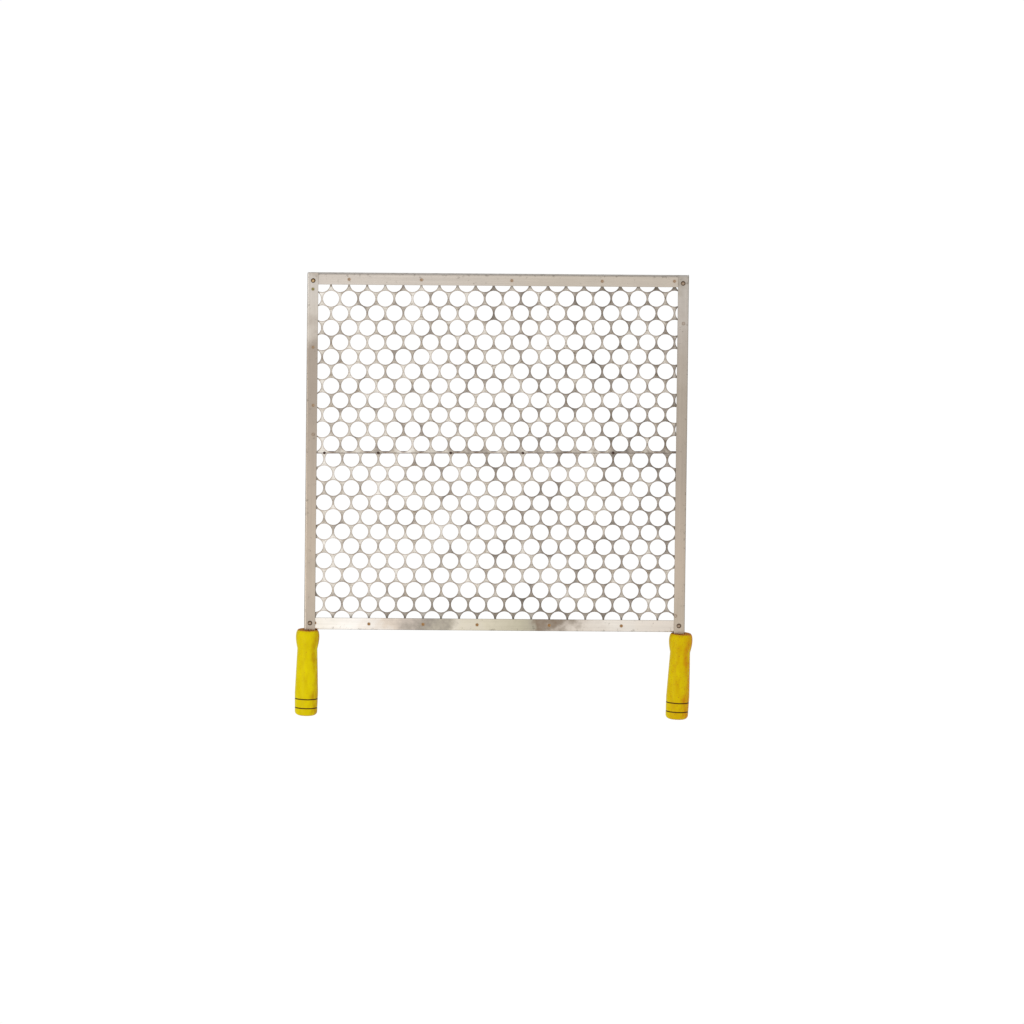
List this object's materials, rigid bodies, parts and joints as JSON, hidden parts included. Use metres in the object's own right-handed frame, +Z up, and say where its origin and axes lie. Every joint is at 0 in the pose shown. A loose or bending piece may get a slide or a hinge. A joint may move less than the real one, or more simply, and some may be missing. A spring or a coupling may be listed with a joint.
{
  "type": "barbecue grill grate",
  "caption": "Flat rectangular grill grate: perforated coin-blank sheets in a folded stainless angle frame, carried by turned wooden grips on tangs.",
  "frame": {"origin": "bottom centre of the whole grate's box: the level that the grips' collars reach down to, midway across and midway from the grips' ends to the back", "axes": "+X across the grate to the right, +Y from the grips to the back rail, +Z up out of the cooking side"},
  "size_m": [0.5208, 0.5898, 0.0308],
  "materials": {
    "frame_angle": "cold-rolled stainless angle, dull and slightly stained",
    "grid_sheet": "punched stainless sheet, dull grey with warm stains",
    "seam_bar": "cut stainless strip, dull",
    "rivets": "set rivets with stained rims",
    "weld_metal": "heat-tinted weld metal",
    "grips": "turned softwood, glossy lemon-yellow enamel with scored bands"
  },
  "bodies": {
    "root": {"left_side_rail": "frame_angle", "right_side_rail": "frame_angle", "back_rail": "frame_angle", "front_rail": "frame_angle", "back_grid_sheet": "grid_sheet", "front_grid_sheet": "grid_sheet", "seam_bar": "seam_bar", "back_left_rivet": "rivets", "back_right_rivet": "rivets", "front_left_rivet": "rivets", "front_right_rivet": "rivets", "left_grip": "grips", "right_grip": "grips", "back_rail_weld_1": "weld_metal", "back_rail_weld_2": "weld_metal", "back_rail_weld_3": "weld_metal", "back_rail_weld_4": "weld_metal", "back_rail_weld_5": "weld_metal", "front_rail_weld_1": "weld_metal", "front_rail_weld_2": "weld_metal", "front_rail_weld_3": "weld_metal", "front_rail_weld_4": "weld_metal", "front_rail_weld_5": "weld_metal", "front_rail_weld_6": "weld_metal", "front_rail_weld_7": "weld_metal", "left_rail_weld_1": "weld_metal", "left_rail_weld_2": "weld_metal", "left_rail_weld_3": "weld_metal", "left_rail_weld_4": "weld_metal", "left_rail_weld_5": "weld_metal", "left_rail_weld_6": "weld_metal", "right_rail_weld_1": "weld_metal", "right_rail_weld_2": "weld_metal", "right_rail_weld_3": "weld_metal", "right_rail_weld_4": "weld_metal", "right_rail_weld_5": "weld_metal", "seam_tack_1": "weld_metal", "seam_tack_2": "weld_metal", "seam_tack_3": "weld_metal", "seam_tack_4": "weld_metal", "seam_tack_5": "weld_metal"}
  },
  "joints": []
}
